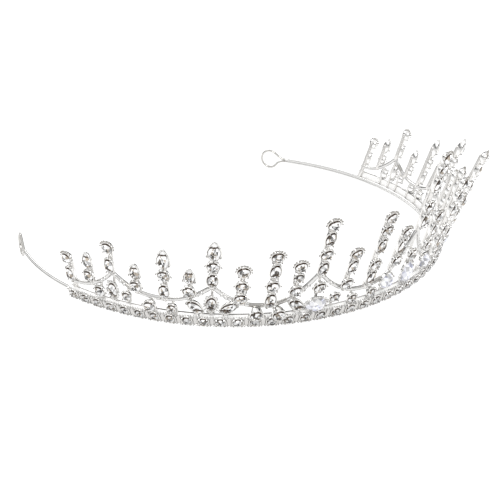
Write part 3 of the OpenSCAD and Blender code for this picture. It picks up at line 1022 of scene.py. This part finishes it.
def add_back_edge(shape):
    """The bright wire along the upper back edge of the strip."""
    places = [on_rim(s, BAND_H, BAND_BACK - BACK_EDGE_INSET) for s in BAND_PLACES]
    points = [place.translation.copy() for place in places]
    normals = [inwards_of(place) for place in places]
    # Part of the wire takes a painted dark reflection, and the rest a slightly darker tone
    tones = [EDGE_DARK_REFLECTION_TONE if DARK_EDGE_FROM < abs(s) < DARK_EDGE_TO else EDGE_TONE for s in BAND_PLACES]
    shape.sweep(points, normals, [BACK_EDGE_R * MM] * len(points), tones, sides=8)


def add_stud(shape, k):
    """The square raised block between two stones, with a claw at each corner."""
    s = k * BAND_PITCH - BAND_HALF
    at_end = k in (0, BAND_COUNT)
    place = on_rim(s + (math.copysign(END_STUD_SHIFT, -s) if at_end else 0), BAND_STONE_H)
    corners = (
        (-STUD_HALF_W, -STUD_HALF_H), (STUD_HALF_W, -STUD_HALF_H),
        (STUD_HALF_W, STUD_HALF_H), (-STUD_HALF_W, STUD_HALF_H),
    )
    rings = [[(x * share, y, z * share) for x, z in corners] for y, share in STUD_LEVELS]
    # The stud is painted a little darker, as painted shade
    shape.skin(place, rings, [STUD_TONE] * len(rings))
    for x in (-CLAW_X, CLAW_X):
        # The lower claws are painted darker, as painted shade
        for z, tone in ((CLAW_LOW, LOW_CLAW_SHADE_TONE), (CLAW_HIGH, WHITE)):
            path = [(x, 0.7, z * 0.9), (x, 0.3, z), (x * 1.1, 0.12, z * 1.02)]
            shape.rod(place, path, (CLAW_R, CLAW_R, CLAW_R * 0.85), (WHITE, WHITE, tone), sides=6)


def add_band_grains(shape, sizes):
    """Rows of grains along the upper and the lower front edge of the band."""
    grain = sizes.grain_d / MM / 2
    step = BAND_PITCH / sizes.grains_per_stone
    for k in range(BAND_COUNT * sizes.grains_per_stone):
        place = on_rim((k + 0.5) * step - BAND_HALF)
        shape.bead(place, (0, BAND_FACE + 0.02, BAND_H - 0.12), grain)
        # The lower row of grains is painted darker, as painted shade
        shape.bead(place, (0, BAND_FACE - 0.12, grain - 0.1), grain, LOW_GRAIN_SHADE_TONE)


class TIARA_OT_band(bpy.types.Operator):
    """Strip, settings, studs and grains of the stone band"""
    bl_idname = "tiara.band"
    bl_label = "Stone Band"

    def execute(self, context):
        sizes, colours = context.scene.tiara_sizes, context.scene.tiara_colours
        strip = Shape()
        rings = [[on_rim(s) @ Vector((0, y, z)) for y, z in band_profile()] for s in BAND_PLACES]
        # The strip is painted a little brighter, a painted sheen
        strip.skin(Matrix.Identity(4), rings, [STRIP_TONE] * len(rings))
        strip.piece("band_strip", satin_silver(colours), ("crown_frame",))
        shape = Shape()
        add_back_edge(shape)
        for k in range(BAND_COUNT):
            place = on_rim((k + 0.5) * BAND_PITCH - BAND_HALF, BAND_STONE_H, BAND_FRONT)
            add_cup(shape, sizes, place, "band", back=BAND_CUP_T)
        for k in range(BAND_COUNT + 1):
            add_stud(shape, k)
        add_band_grains(shape, sizes)
        shape.piece("band_setting", cast_silver(colours), ("crown_frame",))
        return {"FINISHED"}


class TIARA_OT_festoon(bpy.types.Operator):
    """The scalloped wire that the spires stand on"""
    bl_idname = "tiara.festoon"
    bl_label = "Festoon Wire"

    def execute(self, context):
        shape = Shape()
        end = LAST_SPIRE_AT + FESTOON_OVER
        steps = 300
        along = [-end + 2 * end * i / steps for i in range(steps + 1)]
        places = [on_spray(s, festoon_h(s), BAR_DEPTH) for s in along]
        points = [place.translation.copy() for place in places]
        normals = [inwards_of(place) for place in places]
        # Painted dark reflections along stretches of the wire
        tones = [WIRE_REFLECTION_TONE if any(a < s < b for a, b in WIRE_DARK_REFLECTIONS) else WHITE for s in along]
        shape.sweep(points, normals, [FESTOON_R * MM] * len(points), tones, sides=12)
        for side, (at, _) in both_sides(PEAKS):
            for gap in BEAD_GAPS:
                for s in (side * at - gap, side * at + gap):
                    place = on_spray(s, festoon_h(s), BAR_DEPTH)
                    shape.bead(place, (0, -FESTOON_R / 2, 0), BEAD_R, sides=10)
        finish = cast_silver(context.scene.tiara_colours)
        shape.piece("festoon_wire", finish, ("crown_frame",))
        return {"FINISHED"}


class TIARA_OT_spires(bpy.types.Operator):
    """Bars and settings of the upright spires"""
    bl_idname = "tiara.spires"
    bl_label = "Spires"

    def execute(self, context):
        shape = Shape()
        for side, (at, _, _, stones) in both_sides(SPIRE_ROWS):
            s = side * at
            foot = BAND_H / 2 if at == LAST_SPIRE_AT else festoon_h(s)
            add_bar(shape, s, foot, stones[0][1])
            for k, (cut, h) in enumerate(stones):
                kind = "tip" if k == 0 and cut == "round" else cut
                add_cup(shape, context.scene.tiara_sizes, on_spray(s, h, CUP_FRONT), cut, kind)
        finish = cast_silver(context.scene.tiara_colours)
        shape.piece("spire_settings", finish, ("crown_frame",))
        return {"FINISHED"}


class TIARA_OT_garland(bpy.types.Operator):
    """Stems and settings between the band and the festoon wire"""
    bl_idname = "tiara.garland"
    bl_label = "Garland"

    def execute(self, context):
        sizes = context.scene.tiara_sizes
        shape = Shape()
        for side, (at, h, cut, turn, tall, front) in both_sides(GARLAND_ROWS):
            s = side * at
            add_bar(shape, s, BAND_H / 2, festoon_h(s) if tall else h, STEM_R, STEM_R)
            place = on_spray(s, h, front, math.radians(-side * turn))
            add_cup(shape, sizes, place, cut, back=CUP_BACK - front)
        add_cup(shape, sizes, on_spray(0, CENTRE_ROUND_H, CUP_FRONT), "round")
        for side, (at, h, cut) in both_sides(PALMETTE_ROWS):
            s = side * at
            add_bar(shape, s, BAND_H / 2, festoon_h(s), STEM_R, STEM_R)
            add_cup(shape, sizes, on_spray(s, h, CUP_FRONT), cut)
        finish = cast_silver(context.scene.tiara_colours)
        shape.piece("garland_settings", finish, ("crown_frame",))
        return {"FINISHED"}


class TIARA_OT_band_stones(bpy.types.Operator):
    """The even row of round stones in the band"""
    bl_idname = "tiara.band_stones"
    bl_label = "Band Stones"

    def execute(self, context):
        rows = []
        for k in range(BAND_COUNT):
            s = (k + 0.5) * BAND_PITCH - BAND_HALF
            rows.append(("band", on_rim(s, BAND_STONE_H, BAND_FRONT - SEAT_GAP)))
        stone_piece(context.scene.tiara_colours, "band_gems", rows, ("band_stones",), seed=11)
        return {"FINISHED"}


class TIARA_OT_spire_stones(bpy.types.Operator):
    """Stones of the spires below their tips, and the stone at each tip"""
    bl_idname = "tiara.spire_stones"
    bl_label = "Spire Stones"

    def execute(self, context):
        colours = context.scene.tiara_colours
        spires = both_sides(SPIRE_ROWS)
        rows = [
            (cut, stone_place(side * at, h))
            for side, (at, _, _, stones) in spires for cut, h in stones[1:]
        ]
        stone_piece(colours, "spire_gems", rows, ("spire_stones",), seed=23)
        for n, (side, (at, _, _, stones)) in enumerate(spires, 1):
            cut, h = stones[0]
            rows = [(cut, stone_place(side * at, h))]
            stone_piece(colours, f"tip_gem_{n:02d}", rows, (f"tip_stone_{n:02d}",), seed=100 + n)
        return {"FINISHED"}


class TIARA_OT_garland_stones(bpy.types.Operator):
    """Stones between the band and the festoon wire, and the main stone under each peak"""
    bl_idname = "tiara.garland_stones"
    bl_label = "Garland Stones"

    def execute(self, context):
        colours = context.scene.tiara_colours
        rows = []
        for side, (at, h, cut, turn, _, front) in both_sides(GARLAND_ROWS):
            slant = math.radians(side * turn)
            rows.append((cut, stone_place(side * at, h, -slant, front), slant))
        rows.append(("round", stone_place(0, CENTRE_ROUND_H)))
        stone_piece(colours, "garland_gems", rows, ("garland_stones",), seed=37)
        for n, (side, (at, h, cut)) in enumerate(both_sides(PALMETTE_ROWS), 1):
            rows = [(cut, stone_place(side * at, h))]
            stone_piece(colours, f"palmette_gem_{n:02d}", rows, (f"palmette_stone_{n:02d}",), seed=200 + n)
        return {"FINISHED"}


class TIARA_OT_studio(bpy.types.Operator):
    """Pale floor, soft lights, pale surroundings and the camera"""
    bl_idname = "tiara.studio"
    bl_label = "Studio"

    def execute(self, context):
        self.add_floor(context)
        self.add_lights(context)
        self.add_surroundings(context)
        self.add_camera(context)
        context.scene.view_settings.view_transform = "Standard"
        return {"FINISHED"}

    @staticmethod
    def add_floor(context):
        half = 3.0
        corners = [(-half, -half, 0), (half, -half, 0), (half, half, 0), (-half, half, 0)]
        mesh = bpy.data.meshes.new("studio_floor")
        mesh.from_pydata(corners, [], [(0, 1, 2, 3)])
        material = bpy.data.materials.new("pale_floor")
        Nodes(material).principled({
            "Base Color": rgb(context.scene.tiara_colours.floor),
            "Roughness": 0.7,
            "Emission Color": rgb(WHITE),
            "Emission Strength": 0.85,
        })
        mesh.materials.append(material)
        floor = bpy.data.objects.new("studio_floor", mesh)
        context.scene.collection.objects.link(floor)

    @staticmethod
    def add_lights(context):
        aim = Vector((0, -0.02, 0.02))
        # Name, place and size in metres, and power in watts
        rows = (
            ("key_light", (-0.55, -0.45, 0.75), 0.5, 3.0),
            ("fill_light", (0.7, -0.5, 0.45), 0.5, 2.0),
            ("back_light", (0.15, 0.8, 0.6), 0.6, 2.0),
        )
        for name, place, size, power in rows:
            light = bpy.data.lights.new(name, "AREA")
            light.shape = "DISK"
            light.size = size
            light.energy = power
            lamp = bpy.data.objects.new(name, light)
            lamp.location = place
            lamp.rotation_euler = (aim - Vector(place)).to_track_quat("-Z", "Y").to_euler()
            context.scene.collection.objects.link(lamp)

    @staticmethod
    def add_surroundings(context):
        """White to the camera, and pale with dark stretches for the metal and the stones to mirror."""
        world = bpy.data.worlds.new("pale_surroundings")
        context.scene.world = world
        nodes = Nodes(world)
        way = nodes.add("ShaderNodeTexCoord", output="Generated")
        height = nodes.add("ShaderNodeSeparateXYZ", {}, {"Vector": way}, output="Z")
        dark_side = (0.717, 0.697, 0.0)
        behind = nodes.add(
            "ShaderNodeVectorMath", {"operation": "DOT_PRODUCT"}, {0: way, 1: dark_side}, output="Value")
        dark, grey, pale = (0.03, 0.03, 0.03), (0.8, 0.8, 0.8), (1.0, 1.0, 1.0)
        backdrop = nodes.ramp(0.5 + 0.5 * behind, ((0.0, pale), (0.66, pale), (0.76, dark), (1.0, dark)))
        horizon = nodes.ramp(height, ((0.0, grey), (0.1, grey), (0.16, dark)))
        rising = nodes.ramp(height, ((0.0, grey), (0.3, grey), (0.38, dark), (0.46, dark), (0.5, pale)))
        overhead = nodes.ramp(height, ((0.0, dark), (0.55, dark), (0.66, pale), (1.0, pale)))
        low = nodes.mix(1.0, backdrop, rising, "MULTIPLY")
        low = nodes.mix(1.0, low, horizon, "LIGHTEN")
        around = nodes.mix(1.0, low, overhead, "LIGHTEN")
        mirrored = nodes.add("ShaderNodeLightPath", output="Is Glossy Ray")
        around = nodes.mix(mirrored, around, nodes.mix(1.0, around, rgb(WHITE, 0.5), "MULTIPLY"))
        seen = nodes.add("ShaderNodeLightPath", output="Is Camera Ray")
        colour = nodes.mix(seen, around, rgb(WHITE))
        sky = nodes.add("ShaderNodeBackground", {}, {"Color": colour, "Strength": 2.0})
        nodes.add("ShaderNodeOutputWorld", {}, {"Surface": sky})

    @staticmethod
    def add_camera(context):
        """The camera as it stood for the photograph, placed in the tiara's own frame."""
        azimuth, elevation, roll = -0.80035, 0.370362, -0.002
        distance, aim = 330.67, Vector((0, -5.5, 15))
        focal_px, image_px = 893.99, 500
        shift_px = (3.05, -54.77)
        level = math.cos(elevation)
        back = Vector((math.sin(azimuth) * level, -math.cos(azimuth) * level, math.sin(elevation)))
        right = Vector((math.cos(azimuth), math.sin(azimuth), 0))
        turned = Matrix((right, back.cross(right), back)).transposed().to_4x4()
        data = bpy.data.cameras.new("photo_camera")
        data.sensor_width = 36.0
        data.lens = focal_px / image_px * data.sensor_width
        data.shift_x = shift_px[0] / image_px
        data.shift_y = shift_px[1] / image_px
        data.clip_start, data.clip_end = 0.01, 20.0
        camera = bpy.data.objects.new("photo_camera", data)
        stand = SEATED @ Matrix.Translation(aim + back * distance) @ turned @ Matrix.Rotation(roll, 4, "Z")
        camera.matrix_world = Matrix.LocRotScale(stand.to_translation(), stand.to_quaternion(), None)
        context.scene.collection.objects.link(camera)
        context.scene.camera = camera


BUILD_ORDER = (
    TIARA_OT_studio, TIARA_OT_headband, TIARA_OT_band, TIARA_OT_festoon, TIARA_OT_spires, TIARA_OT_garland,
    TIARA_OT_band_stones, TIARA_OT_spire_stones, TIARA_OT_garland_stones,
)


class TIARA_PT_tiara(bpy.types.Panel):
    """Lists the pieces of the tiara and their sizes and colours"""
    bl_idname = "TIARA_PT_tiara"
    bl_label = "Tiara"
    bl_space_type = "VIEW_3D"
    bl_region_type = "UI"
    bl_category = "Tiara"

    def draw(self, context):
        for group in (context.scene.tiara_sizes, context.scene.tiara_colours):
            box = self.layout.box()
            for name in group.bl_rna.properties.keys():
                if name not in ("rna_type", "name"):
                    box.prop(group, name)
        for operator in BUILD_ORDER:
            self.layout.operator(operator.bl_idname)


CLASSES = (TiaraSizes, TiaraColours, *BUILD_ORDER, TIARA_PT_tiara)


def register():
    for cls in CLASSES:
        bpy.utils.register_class(cls)
    bpy.types.Scene.tiara_sizes = PointerProperty(type=TiaraSizes)
    bpy.types.Scene.tiara_colours = PointerProperty(type=TiaraColours)


def unregister():
    del bpy.types.Scene.tiara_colours
    del bpy.types.Scene.tiara_sizes
    for cls in reversed(CLASSES):
        bpy.utils.unregister_class(cls)


def main():
    """Registers the classes and builds every piece in order."""
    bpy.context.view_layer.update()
    register()
    for operator in BUILD_ORDER:
        group, name = operator.bl_idname.split(".")
        getattr(getattr(bpy.ops, group), name)()


if __name__ == "__main__":
    main()
